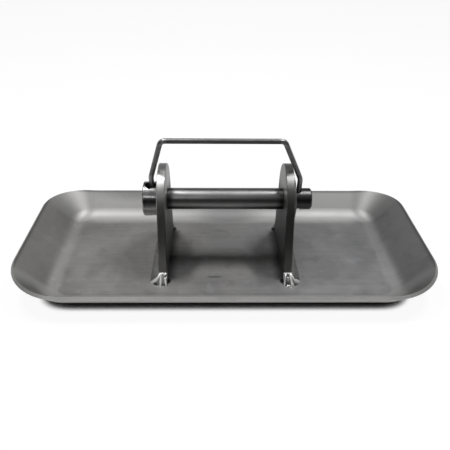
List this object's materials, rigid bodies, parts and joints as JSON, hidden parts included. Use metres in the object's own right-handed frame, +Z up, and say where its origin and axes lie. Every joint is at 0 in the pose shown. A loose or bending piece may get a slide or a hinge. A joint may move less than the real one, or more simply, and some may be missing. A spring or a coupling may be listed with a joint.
{
  "type": "jack leg foot pad",
  "caption": "Pressed steel foot pad for a drop leg: oblong dished tray, welded clevis ears, turning cross pin with collar, and a wire bail that lifts to free the pin.",
  "frame": {"origin": "middle of the tray's flat underside, on the ground", "axes": "+X along the tray's long side and the pin, from the collar end to the wire-hole end; +Y to the rear; +Z up"},
  "size_m": [0.4788, 0.2412, 0.1652],
  "materials": {
    "plate": "dull rolled steel",
    "weld": "rippled weld metal",
    "pin": "turned bar",
    "wire": "drawn wire"
  },
  "bodies": {
    "base": {"pan": "plate", "left_ear": "plate", "right_ear": "plate", "right_boss_ring": "plate", "left_side_bead": "weld", "left_front_bead": "weld", "left_rear_bead": "weld", "right_side_bead": "weld", "right_front_bead": "weld", "right_rear_bead": "weld"},
    "pin": {"pin_shaft": "pin", "pin_collar": "pin"},
    "bail": {"bail_wire": "wire"}
  },
  "joints": [
    {"name": "pin_turn", "type": "hinge", "parent": "base", "child": "pin", "pos_m": [0, 0, 0.0832], "axis": [1, 0, 0], "range_deg": [-90, 70]},
    {"name": "bail_lift", "type": "slide", "parent": "pin", "child": "bail", "axis": [0, -0.1736, 0.9848], "range_m": [0, 0.025]}
  ]
}
